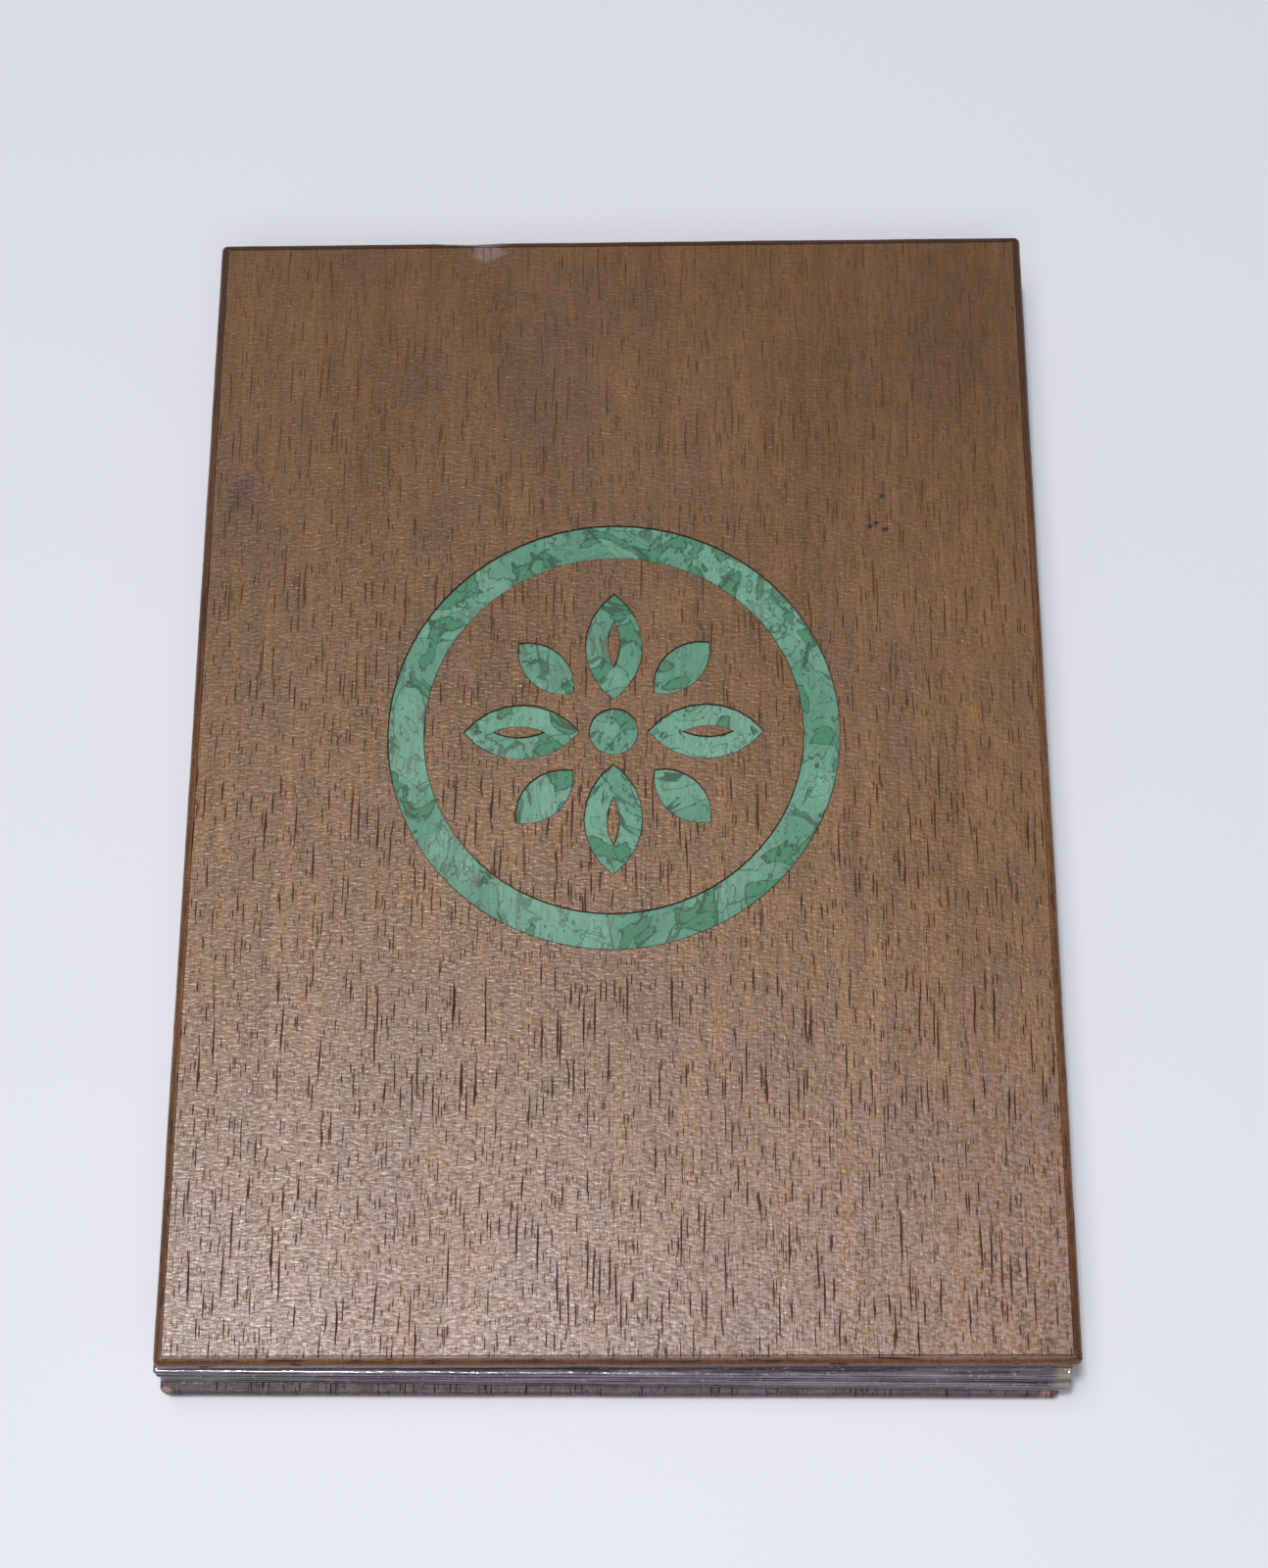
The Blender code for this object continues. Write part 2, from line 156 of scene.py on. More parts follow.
class Paint:
    """Builds one procedural material, node by node."""

    def __init__(self, name):
        self.made = bpy.data.materials.new(name)
        self.made.use_nodes = True
        self.tree = self.made.node_tree
        self.shader = self.tree.nodes["Principled BSDF"]
        self.place = self.tree.nodes.new("ShaderNodeTexCoord").outputs["Object"]
        self.apart = self.node("SeparateXYZ", {"Vector": self.place}).outputs

    def feed(self, socket, value):
        """Link a socket to another one, or set its value."""
        if isinstance(value, bpy.types.NodeSocket):
            self.tree.links.new(value, socket)
        elif socket.type == "RGBA" and len(value) == 3:
            socket.default_value = (*value, 1.0)
        else:
            socket.default_value = value

    def node(self, kind, inputs, **settings):
        """A shader node of one kind with its inputs fed and its settings made."""
        made = self.tree.nodes.new("ShaderNode" + kind)
        for key, value in settings.items():
            setattr(made, key, value)
        for socket, value in inputs.items():
            self.feed(made.inputs[socket], value)
        return made

    def finish(self, **values):
        """Feed the shader; an underscore in a name stands for a space."""
        for socket, value in values.items():
            self.feed(self.shader.inputs[socket.replace("_", " ")], value)
        return self.made

    def scaled(self, x, y, z, place=None):
        """Coordinates times a scale for each axis, in cells per metre."""
        inputs = {"Vector": place or self.place, "Scale": (x, y, z)}
        return self.node("Mapping", inputs).outputs[0]

    def noise(self, vector, detail=2.0, rough=0.5, bend=0.0):
        """Fractal noise, about 0.5 on average."""
        inputs = {
            "Vector": vector, "Scale": 1.0, "Detail": detail, "Roughness": rough, "Distortion": bend,
        }
        return self.node("TexNoise", inputs).outputs[0]

    def math(self, operation, a, b=0.0):
        """One of the Math node's operations on two values, or on the first one alone."""
        return self.node("Math", {0: a, 1: b}, operation=operation).outputs[0]

    def span(self, value, low, high, to_low=0.0, to_high=1.0):
        """A smooth step from one value to another, held beyond both ends."""
        inputs = {0: value, 1: low, 2: high, 3: to_low, 4: to_high}
        return self.node("MapRange", inputs, interpolation_type="SMOOTHSTEP").outputs[0]

    def mix(self, factor, a, b, how="MIX"):
        """The first colour at 0, the second one blended over it at 1."""
        inputs = {0: factor, 6: a, 7: b}
        return self.node("Mix", inputs, data_type="RGBA", blend_type=how).outputs[2]

    def shade(self, colour, factor):
        """Multiply a colour by a grey factor."""
        grey = self.node("CombineColor", {0: factor, 1: factor, 2: factor}).outputs[0]
        return self.mix(1.0, colour, grey, "MULTIPLY")

    def bump(self, height, depth):
        """A normal from a height field whose unit is a depth in metres."""
        return self.node("Bump", {"Height": height, "Distance": depth, "Strength": 1.0}).outputs[0]

    def rim(self, colour, dark):
        """Painted shade: darken whatever doesn't face straight up, such as the bevelled rims of
        cut-outs, as if they lay in shadow.
        """
        normal = self.node("NewGeometry", {}).outputs["True Normal"]
        upward = self.node("SeparateXYZ", {"Vector": normal}).outputs[2]
        return self.mix(self.span(upward, 0.97, 0.90, 0.0, 0.9), colour, dark)

    def near(self, x, y, radius_x, radius_y, ragged, fine):
        """A soft patch about a point of the plan, 1 inside, with a ragged rim of a given fineness."""
        dx = self.math("DIVIDE", self.math("SUBTRACT", self.apart[0], x), radius_x)
        dy = self.math("DIVIDE", self.math("SUBTRACT", self.apart[1], y), radius_y)
        square = self.math("ADD", self.math("MULTIPLY", dx, dx), self.math("MULTIPLY", dy, dy))
        far = self.math("SQRT", square)
        rough = self.math("SUBTRACT", self.noise(self.scaled(fine, fine, fine), 3.0, 0.6), 0.5)
        far = self.math("ADD", far, self.math("MULTIPLY", rough, ragged))
        return self.span(far, 1.0, 0.45)


# Wood: how far the grain wanders sideways, and the relief's unit
GRAIN_WANDER = 3.5 * MM
WOOD_RELIEF = 0.05 * MM


def fibres(paint, place, grain, across, along):
    """Texture coordinates stretched along the grain, which runs along X or Y."""
    if grain == "Y":
        return paint.scaled(across, along, across, place)
    return paint.scaled(along, across, across, place)


def wander(paint, grain):
    """The piece's coordinates, pushed a little to and fro across the grain."""
    slow = paint.math("SUBTRACT", paint.noise(fibres(paint, None, grain, 55.0, 14.0), 2.0), 0.5)
    quick = paint.math("SUBTRACT", paint.noise(fibres(paint, None, grain, 260.0, 110.0), 2.0), 0.5)
    slow = paint.math("MULTIPLY", slow, GRAIN_WANDER)
    push = paint.math("ADD", slow, paint.math("MULTIPLY", quick, GRAIN_WANDER * 0.16))
    parts = {"X": push, "Y": 0.0} if grain == "Y" else {"X": 0.0, "Y": push}
    offset = paint.node("CombineXYZ", parts).outputs[0]
    return paint.node("VectorMath", {0: paint.place, 1: offset}, operation="ADD").outputs[0]


# Layers of pores: cells per metre across and along, spot radius in cells, share of the cells
# that hold a pore, darkness
PORES = (
    (500.0, 17.0, 0.130, 0.85, 0.97),
    (610.0, 38.0, 0.140, 0.80, 0.95),
    (790.0, 92.0, 0.160, 0.55, 0.85),
    (1500.0, 230.0, 0.210, 0.50, 0.50),
)

# The pores are full up to the first place along Y and this share of it from the second one on
PORE_FADE_FROM, PORE_FADE_TO, PORE_FAR_SHARE = -0.08, 0.16, 0.55


def pores(paint, place, grain, across, along, size, share):
    """Thin open pores along the grain: one in each of a share of the cells."""
    cells = paint.node("TexVoronoi", {
        "Vector": fibres(paint, place, grain, across, along), "Scale": 1.0, "Randomness": 1.0,
    }, voronoi_dimensions="2D")
    chance = paint.node("SeparateColor", {"Color": cells.outputs["Color"]}).outputs
    radius = paint.span(chance[1], 0.0, 1.0, size * 0.45, size)
    spot = paint.span(cells.outputs["Distance"], paint.math("MULTIPLY", radius, 0.55), radius, 1.0, 0.0)
    return paint.math("MULTIPLY", spot, paint.math("LESS_THAN", chance[0], share))


def wood(name, grain, light, dark, pore_colour, rough, marks=None, depth=1.0, shaded_rims=False):
    """Open-pored wood under a thin lacquer, with a relief of the given depth."""
    paint = Paint(name)
    place = wander(paint, grain)
    streak = paint.noise(fibres(paint, place, grain, 240.0, 9.0), 5.0, 0.68)
    broad = paint.noise(fibres(paint, place, grain, 30.0, 13.0), 3.0, 0.6)
    fibre = paint.noise(fibres(paint, place, grain, 1300.0, 95.0), 3.0, 0.7)
    fleck = paint.noise(fibres(paint, place, grain, 520.0, 2000.0), 3.0, 0.65)
    tint = paint.noise(fibres(paint, None, grain, 150.0, 90.0), 4.0, 0.7)

    colour = paint.mix(paint.span(streak, 0.32, 0.68), light, dark)
    colour = paint.shade(colour, paint.span(broad, 0.28, 0.72, 0.84, 1.16))
    pinker = (light[0] * 1.08, light[1] * 0.93, light[2] * 1.60)
    colour = paint.mix(paint.span(tint, 0.46, 0.62, 0.0, 0.45), colour, pinker)
    colour = paint.shade(colour, paint.span(fibre, 0.28, 0.72, 0.72, 1.26))
    colour = paint.shade(colour, paint.span(fleck, 0.34, 0.66, 0.72, 1.28))
    if marks:
        colour = marks(paint, colour)
    relief = paint.noise(fibres(paint, place, grain, 620.0, 1250.0), 2.0, 0.55)
    height = paint.math("MULTIPLY", relief, 2.3 * depth)
    height = paint.math("ADD", height, paint.math("MULTIPLY", fleck, 0.5 * depth))
    height = paint.math("ADD", height, paint.math("MULTIPLY", fibre, 1.5 * depth))
    dull = 0.0
    fade = paint.span(paint.apart[1], PORE_FADE_FROM, PORE_FADE_TO, 1.0, PORE_FAR_SHARE)
    for across, along, size, share, strength in PORES:
        spots = paint.math("MULTIPLY", pores(paint, place, grain, across, along, size, share), fade)
        colour = paint.mix(paint.math("MULTIPLY", spots, strength), colour, pore_colour)
        height = paint.math("SUBTRACT", height, paint.math("MULTIPLY", spots, 2.6 * strength))
        dull = paint.math("ADD", dull, paint.math("MULTIPLY", spots, 0.6 * strength))
    sparkle = paint.span(fleck, 0.36, 0.64, 0.16 * depth, -0.07 * depth)
    roughness = paint.math("ADD", paint.span(broad, 0.25, 0.75, rough - 0.03, rough + 0.04), dull)
    roughness = paint.math("ADD", roughness, sparkle)
    # Painted shade: the bevelled rims round the cut-outs are darkened as if in shadow.
    if shaded_rims:
        colour = paint.rim(colour, (0.022, 0.012, 0.008))
    return paint.finish(Base_Color=colour, Roughness=roughness, Normal=paint.bump(height, WOOD_RELIEF))


# Marks on the cover's face, placed by shares of its width and length, with reaches in metres
# Dark stains: place, reach across, reach along, strength
STAINS = (
    (0.035, 0.750, 0.0050, 0.0080, 0.55), (0.250, 0.862, 0.0120, 0.0100, 0.30),
    (0.470, 0.930, 0.0300, 0.0180, 0.22), (0.900, 0.900, 0.0300, 0.0400, 0.16),
    (0.400, 0.870, 0.0140, 0.0300, 0.22),
)
# Black specks: place
SPECKS = ((0.820, 0.745), (0.804, 0.716), (0.823, 0.713), (0.812, 0.719))
# Short brown scratches: place, reach across
SCRATCHES = (
    (0.801, 0.087, 0.0026), (0.802, 0.048, 0.0034), (0.828, 0.142, 0.0020),
    (0.904, 0.073, 0.0030), (0.300, 0.120, 0.0022),
)
# The pale bruise at the far edge, on the face and on the band
BRUISE = (0.270, 0.210, 0.200)


def face_marks(paint, colour):
    """The cover's face: darker towards the far end, a painted sheen of pale glints at the near end, and
    marks.
    """
    low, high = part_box("front_face_veneer")
    width, length = high.x - low.x, high.y - low.y

    def patch(colour, across, along, reach_x, reach_y, strength, tone, ragged, fine):
        mask = paint.near(low.x + across * width, low.y + along * length, reach_x, reach_y, ragged, fine)
        return paint.mix(paint.math("MULTIPLY", mask, strength), colour, tone)

    far = paint.span(paint.apart[1], low.y + 0.20 * length, high.y, 0.0, 0.45)
    colour = paint.mix(far, colour, (0.110, 0.056, 0.030))
    haze = paint.span(paint.noise(paint.scaled(30.0, 17.0, 30.0), 3.0, 0.6, 0.5), 0.50, 0.66, 0.0, 0.38)
    colour = paint.mix(haze, colour, (0.125, 0.064, 0.034))
    # Painted highlight: pale pinkish glints over the near end of the face, standing in for the lamp's
    # sheen on the lacquer.
    near = paint.span(paint.apart[1], low.y + 0.40 * length, low.y)
    dust_and_glint = paint.span(paint.noise(paint.scaled(620.0, 1250.0, 620.0), 2.0, 0.55), 0.42, 0.58, 0.0, 0.42)
    colour = paint.mix(paint.math("MULTIPLY", near, dust_and_glint), colour, (0.47, 0.33, 0.34))
    for stain in STAINS:
        colour = patch(colour, *stain, (0.070, 0.042, 0.036), 1.7, 150.0)
    for speck in SPECKS:
        colour = patch(colour, *speck, 0.0011, 0.0008, 1.0, (0.012, 0.010, 0.010), 0.9, 1400.0)
    for scratch in SCRATCHES:
        colour = patch(colour, *scratch, 0.0007, 0.75, (0.120, 0.055, 0.028), 1.1, 900.0)
    return patch(colour, 0.330, 0.992, 0.0062, 0.0030, 0.60, BRUISE, 1.2, 520.0)


def front_band_marks(paint, colour):
    """A darker far end, and a pale bruise where the far edge is chipped."""
    low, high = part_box("front_lipping")
    chip_x = low.x + 0.33 * (high.x - low.x)
    chip = paint.near(chip_x, high.y - 0.0012, 0.0075, 0.0024, 0.9, 420.0)
    far = paint.span(paint.apart[1], low.y + 0.45 * (high.y - low.y), high.y, 0.0, 0.75)
    colour = paint.mix(far, colour, (0.040, 0.020, 0.017))
    return paint.mix(paint.math("MULTIPLY", chip, 0.7), colour, BRUISE)


def back_band_marks(paint, colour):
    """Bare wood where the near corners are worn."""
    low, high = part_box("back_lipping")
    for x in (low.x + 0.0012, high.x - 0.0034):
        worn = paint.near(x, low.y + 0.0006, 0.0019, 0.0012, 1.1, 700.0)
        colour = paint.mix(paint.math("MULTIPLY", worn, 0.75), colour, (0.36, 0.20, 0.17))
    return colour


def patina():
    """Green patina on thin plates, with darker stains, tide lines, scuffs and specks."""
    paint = Paint("green_patina")
    cloud = paint.noise(paint.scaled(38.0, 30.0, 38.0), 4.0, 0.55, 0.9)
    patch = paint.noise(paint.scaled(70.0, 60.0, 70.0), 4.0, 0.52, 1.1)
    brush = paint.noise(paint.scaled(900.0, 110.0, 300.0), 4.0, 0.65)
    colour = paint.mix(paint.span(cloud, 0.38, 0.60), (0.140, 0.345, 0.235), (0.082, 0.262, 0.165))
    colour = paint.shade(colour, paint.span(brush, 0.28, 0.72, 0.84, 1.14))
    stain = paint.span(patch, 0.560, 0.572)
    colour = paint.mix(paint.math("MULTIPLY", stain, 0.85), colour, (0.042, 0.205, 0.100))
    for field, level, width, strength in ((patch, 0.560, 0.020, 0.90), (cloud, 0.505, 0.0100, 0.80),
                                          (cloud, 0.420, 0.0070, 0.55), (patch, 0.435, 0.0110, 0.65)):
        tide = paint.math("ABSOLUTE", paint.math("SUBTRACT", field, level))
        line = paint.span(tide, width, width * 0.35, 0.0, strength)
        colour = paint.mix(line, colour, (0.012, 0.070, 0.040))
    scuff = paint.noise(paint.scaled(620.0, 95.0, 300.0), 4.0, 0.7)
    worn = paint.noise(paint.scaled(52.0, 40.0, 45.0), 2.0)
    scuff = paint.math("MULTIPLY", paint.span(scuff, 0.54, 0.62), paint.span(worn, 0.48, 0.60))
    colour = paint.mix(paint.math("MULTIPLY", scuff, 0.75), colour, (0.115, 0.125, 0.085))
    speck = pores(paint, None, "Y", 420.0, 420.0, 0.20, 0.20)
    colour = paint.mix(paint.math("MULTIPLY", speck, 0.85), colour, (0.020, 0.060, 0.040))
    grain = paint.noise(paint.scaled(1500.0, 1500.0, 1500.0), 3.0)
    colour = paint.shade(colour, paint.span(grain, 0.25, 0.75, 0.88, 1.12))
    # Painted shade: the plates' bevelled rims are darkened as if in shadow.
    colour = paint.rim(colour, (0.010, 0.030, 0.020))
    height = paint.math("ADD", paint.math("MULTIPLY", patch, 0.9), paint.math("MULTIPLY", grain, 0.5))
    height = paint.math("ADD", height, paint.math("MULTIPLY", brush, 0.5))
    roughness = paint.span(patch, 0.35, 0.65, 0.46, 0.60)
    return paint.finish(Base_Color=colour, Roughness=roughness, Normal=paint.bump(height, 0.06 * MM))


def smoked_vinyl():
    """The welded frames of the leaves: smoky, glossy, dusty, and yellowed at one corner."""
    paint = Paint("smoked_vinyl")
    streak = paint.noise(paint.scaled(45.0, 900.0, 500.0), 4.0, 0.65, 0.3)
    dust_and_glint = paint.noise(paint.scaled(800.0, 900.0, 900.0), 3.0, 0.7)
    colour = paint.mix(paint.span(streak, 0.36, 0.64), (0.060, 0.046, 0.058), (0.210, 0.175, 0.205))
    colour = paint.mix(paint.span(dust_and_glint, 0.56, 0.72, 0.0, 0.55), colour, (0.42, 0.37, 0.37))
    low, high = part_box("leaf_6_sleeve")
    aged = paint.near(high.x - 0.0012, low.y + 0.0010, 0.0052, 0.0060, 0.5, 300.0)
    colour = paint.mix(paint.math("MULTIPLY", aged, 0.85), colour, (0.330, 0.280, 0.215))
    wave = paint.noise(paint.scaled(170.0, 420.0, 420.0), 3.0, 0.6)
    height = paint.math("ADD", wave, paint.math("MULTIPLY", dust_and_glint, 0.06))
    roughness = paint.span(dust_and_glint, 0.45, 0.70, 0.08, 0.30)
    return paint.finish(Base_Color=colour, Roughness=roughness, Normal=paint.bump(height, 0.32 * MM),
                        Coat_Weight=0.5, Coat_Roughness=0.06)


def clear_film():
    """The pockets' clear windows."""
    paint = Paint("clear_film")
    wave = paint.noise(paint.scaled(24.0, 14.0, 24.0), 2.0)
    haze = paint.noise(paint.scaled(300.0, 40.0, 300.0), 3.0, 0.6)
    colour = paint.mix(haze, (0.62, 0.61, 0.60), (0.80, 0.79, 0.78))
    return paint.finish(Base_Color=colour, Roughness=paint.span(haze, 0.3, 0.7, 0.05, 0.13),
                        Normal=paint.bump(wave, 1.2 * MM), Alpha=0.16)


def card_stock():
    """Blank cream card."""
    paint = Paint("card_stock")
    pulp = paint.noise(paint.scaled(900.0, 1300.0, 900.0), 4.0, 0.65)
    tone = paint.noise(paint.scaled(12.0, 9.0, 12.0), 2.0)
    colour = paint.mix(paint.span(tone, 0.3, 0.7), (0.70, 0.63, 0.50), (0.62, 0.54, 0.42))
    colour = paint.shade(colour, paint.span(pulp, 0.3, 0.7, 0.94, 1.04))
    return paint.finish(Base_Color=colour, Roughness=0.82, Normal=paint.bump(pulp, 0.03 * MM))


def leather_skin():
    """Dark brown leather with a fine pebbled grain, darker in its grooves."""
    paint = Paint("leather_skin")
    cells = paint.node("TexVoronoi", {"Vector": paint.scaled(1300.0, 1300.0, 1300.0), "Scale": 1.0},
                       feature="DISTANCE_TO_EDGE").outputs["Distance"]
    pebble = paint.span(cells, 0.0, 0.32)
    tone = paint.noise(paint.scaled(90.0, 90.0, 90.0), 3.0, 0.6)
    colour = paint.mix(paint.span(tone, 0.3, 0.7), (0.042, 0.024, 0.016), (0.075, 0.044, 0.030))
    colour = paint.shade(colour, paint.span(pebble, 0.0, 1.0, 0.55, 1.05))
    return paint.finish(Base_Color=colour, Roughness=paint.span(tone, 0.3, 0.7, 0.42, 0.60),
                        Normal=paint.bump(pebble, 0.10 * MM))


def metal(name, colour, rough, scratch):
    """Plain metal with fine brushing along X."""
    paint = Paint(name)
    brush = paint.noise(paint.scaled(60.0, scratch, scratch), 3.0, 0.6)
    spots = paint.noise(paint.scaled(500.0, 500.0, 500.0), 3.0, 0.6)
    tint = paint.shade(colour, paint.span(brush, 0.25, 0.75, 0.86, 1.05))
    roughness = paint.math("ADD", paint.span(brush, 0.3, 0.7, rough - 0.06, rough + 0.08),
                           paint.span(spots, 0.60, 0.75, 0.0, 0.12))
    return paint.finish(Base_Color=tint, Roughness=roughness, Metallic=1.0,
                        Normal=paint.bump(brush, 0.02 * MM))


def plywood():
    """The boards' core, seen only in the gaps round the inlay and in the bores."""
    paint = Paint("core_ply")
    layer = paint.node("TexWave", {"Vector": paint.scaled(0.0, 0.0, 1.0), "Scale": 350.0},
                       bands_direction="Z").outputs["Fac"]
    fuzz = paint.noise(paint.scaled(300.0, 60.0, 900.0), 3.0, 0.6)
    colour = paint.mix(layer, (0.36, 0.24, 0.14), (0.20, 0.12, 0.07))
    colour = paint.shade(colour, paint.span(fuzz, 0.3, 0.7, 0.8, 1.1))
    return paint.finish(Base_Color=colour, Roughness=0.8)


def table_top():
    """A plain pale table."""
    paint = Paint("pale_table")
    tone = paint.noise(paint.scaled(3.0, 3.0, 3.0), 2.0)
    fine = paint.noise(paint.scaled(900.0, 900.0, 900.0), 2.0)
    colour = paint.mix(tone, (0.76, 0.77, 0.82), (0.80, 0.81, 0.86))
    return paint.finish(Base_Color=colour, Roughness=0.55, Normal=paint.bump(fine, 0.01 * MM))


FACE_WOOD = wood("face_wood", "Y", (0.238, 0.114, 0.030), (0.164, 0.075, 0.019), (0.045, 0.013, 0.008),
                 0.30, face_marks, shaded_rims=True)
BACK_WOOD = wood("back_wood", "Y", (0.165, 0.088, 0.050), (0.110, 0.058, 0.036), (0.040, 0.016, 0.012),
                 0.42)
# Each band's materials: the one of its long sides, then the one of its ends
FRONT_BAND = [
    wood("front_band_" + grain, grain, (0.180, 0.080, 0.028), (0.100, 0.042, 0.016),
         (0.030, 0.010, 0.006), 0.32, front_band_marks, depth=0.4)
    for grain in "YX"
]
# Its dark purplish brown is partly the band's own darker wood, partly painted shade and painted bluish
# reflection where it lies below the cover's overhang.
BACK_BAND = [
    wood("back_band", "Y", (0.110, 0.066, 0.066), (0.068, 0.042, 0.046), (0.020, 0.010, 0.010),
         0.55, back_band_marks, depth=0.4)
] * 2
PATINA = patina()
VINYL = smoked_vinyl()
FILM = clear_film()
CARD = card_stock()
LEATHER = leather_skin()
STEEL = metal("plated_steel", (0.66, 0.65, 0.63), 0.24, 2600.0)
ALUMINIUM = metal("satin_aluminium", (0.60, 0.60, 0.61), 0.36, 3500.0)
PLY = plywood()


# ---------------------------------------------------------------- mesh helpers

def new_piece(name, points, faces, materials, sharp):
    """A mesh piece with smooth shading and sharp edges above an angle."""
    mesh = bpy.data.meshes.new(name)
    mesh.from_pydata([tuple(point) for point in points], [], faces)
    body = bmesh.new()
    body.from_mesh(mesh)
    bmesh.ops.recalc_face_normals(body, faces=body.faces)
    body.to_mesh(mesh)
    body.free()
    for made in materials:
        mesh.materials.append(made)
    mesh.shade_smooth()
    mesh.set_sharp_from_angle(angle=math.radians(sharp))
    piece = bpy.data.objects.new(name, mesh)
    bpy.context.scene.collection.objects.link(piece)
    return piece


def loft(name, rings, materials, closed, sharp):
    """Skin a row of closed rings, joined end to end or capped."""
    count = len(rings[0])
    points = [point for ring in rings for point in ring]
    last = len(rings) if closed else len(rings) - 1
    faces = []
    for row in range(last):
        here = row * count
        there = (row + 1) % len(rings) * count
        for i in range(count):
            step = (i + 1) % count
            faces.append((here + i, here + step, there + step, there + i))
    if not closed:
        faces.append(tuple(range(count)))
        faces.append(tuple(reversed(range(last * count, last * count + count))))
    return new_piece(name, points, faces, materials, sharp)


class Lay:
    """How a CAD slab lies: its centre, turn, width and length in the plan, and its heights."""

    def __init__(self, node):
        low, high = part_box(node)
        self.centre = (low + high) / 2
        self.low, self.high = low.z, high.z
        corners = [vertex.co for vertex in frame["nodes"][node].data.vertices]
        near = [corner for corner in corners if corner.y < self.centre.y]
        far = [corner for corner in corners if corner.y > self.centre.y]
        left_near = min(near, key=lambda corner: corner.x)
        left_far = min(far, key=lambda corner: corner.x)
        right_near = max(near, key=lambda corner: corner.x)
        self.turn = math.atan2(left_near.x - left_far.x, left_far.y - left_near.y)
        self.across = Vector((math.cos(self.turn), math.sin(self.turn), 0.0))
        self.along = Vector((-math.sin(self.turn), math.cos(self.turn), 0.0))
        self.width = (right_near - left_near).dot(self.across)
        reach = [(corner - self.centre).dot(self.along) for corner in corners]
        self.length = max(reach) - min(reach)

    def at(self, u, v, z):
        """A point from the slab's own plan coordinates and a height."""
        point = self.centre + self.across * u + self.along * v
        return Vector((point.x, point.y, z))


class Rim:
    """A point of a rounded rectangle, which can be set in by more than the corner's radius."""

    def __init__(self, centre, corner, normal, sides):
        self.centre, self.corner, self.normal, self.sides = centre, corner, normal, sides
        self.x, self.y = self.inset(0.0)

    def inset(self, depth):
        left = self.corner - depth
        way = self.normal if left > 0 else self.sides
        return self.centre[0] + left * way[0], self.centre[1] + left * way[1]


def outline(width, length, corner, spacing):
    """Points round a rounded rectangle, evenly spaced along its straight sides."""
    points = []
    for quarter in range(4):
        mid = math.radians(45 + 90 * quarter)
        sides = (math.copysign(1.0, math.cos(mid)), math.copysign(1.0, math.sin(mid)))
        centre = (sides[0] * (width / 2 - corner), sides[1] * (length / 2 - corner))
        for step in range(CORNER_STEPS + 1):
            angle = math.radians(90 * quarter + 90 * step / CORNER_STEPS)
            points.append(Rim(centre, corner, (math.cos(angle), math.sin(angle)), sides))
        side = (length if quarter % 2 else width) - 2 * corner
        count = max(2, round(side / spacing))
        end = math.radians(90 * quarter + 90)
        normal = (round(math.cos(end)), round(math.sin(end)))
        for step in range(1, count):
            way = side * step / count
            along = (centre[0] - way * normal[1], centre[1] + way * normal[0])
            points.append(Rim(along, corner, normal, normal))
    return points


def ripple(x, y, z, scale, seed):
    """Smooth noise from about -1 to 1."""
    return noise.noise(Vector((x * scale + seed, y * scale, z * scale)))


# ---------------------------------------------------------------- cover boards

def band_profile(thick, outer_up):
    """The band's section: inset from the outer face, and height above its lower face."""
    section = []
    for step in range(INNER_STEPS + 1):
        angle = math.radians(90 * step / INNER_STEPS)
        section.append((INNER_ROUND * (1 - math.sin(angle)), INNER_ROUND * (1 - math.cos(angle))))
    for step in range(OUTER_STEPS + 1):
        angle = math.radians(90 * step / OUTER_STEPS)
        height = thick - OUTER_ROUND * (1 - math.sin(angle))
        section.append((OUTER_ROUND * (1 - math.cos(angle)), height))
    section.append((BAND_WIDTH - BAND_CHAMFER, thick - BAND_DROP))
    section.append((BAND_WIDTH, thick - BAND_DROP - BAND_CHAMFER))
    section.append((BAND_WIDTH, 0.0))
    return section if outer_up else [(inset, thick - height) for inset, height in section]


def edge_band(name, node, body, outer_up, materials, chip_x=None):
    """The solid-wood band round a board, slightly uneven, with a chip at one X of its far edge."""
    lay = Lay(node)
    thick = lay.high - lay.low
    rings = []
    for rim in outline(lay.width, lay.length, BOARD_CORNER, BAND_SPACING):
        x, y = rim.x, rim.y
        sway = 0.11 * MM * ripple(x, y, 0.0, 38.0, 3.0) + 0.05 * MM * ripple(x, y, 0.0, 210.0, 8.0)
        ring = []
        for inset, height in band_profile(thick, outer_up):
            ease = max(0.0, 1.0 - inset / OUTER_ROUND)
            push = sway * ease
            drop = 0.0
            if chip_x is not None and height > thick - OUTER_ROUND:
                bite = max(0.0, 1.0 - abs(x - chip_x) / CHIP_REACH) * (rim.normal[1] > 0.5)
                drop = bite * ease * (0.5 + 0.5 * ripple(x, y, height, 900.0, 5.0)) * CHIP_DEPTH
            ring.append(lay.at(*rim.inset(inset + push + drop), lay.low + height - drop))
        rings.append(ring)
    band = loft(name, rings, materials, closed=True, sharp=50.0)
    ends = lay.length / 2 - BOARD_CORNER
    for face in band.data.polygons:
        face.material_index = int(abs((face.center - lay.centre).dot(lay.along)) > ends)
    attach(band, body)
    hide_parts(node)


def dress(node, made, bevel=0.0, segments=2):
    """Give a CAD node its material and, if it has a width, a fine bevel."""
    piece = frame["nodes"][node]
    piece.data.materials.clear()
    piece.data.materials.append(made)
    if bevel:
        edge = piece.modifiers.new("arris", "BEVEL")
        edge.width = bevel
        edge.segments = segments
        edge.limit_method = "ANGLE"
        edge.angle_limit = math.radians(35)
        edge.harden_normals = True
    piece.data.shade_smooth()
    piece.data.set_sharp_from_angle(angle=math.radians(35))


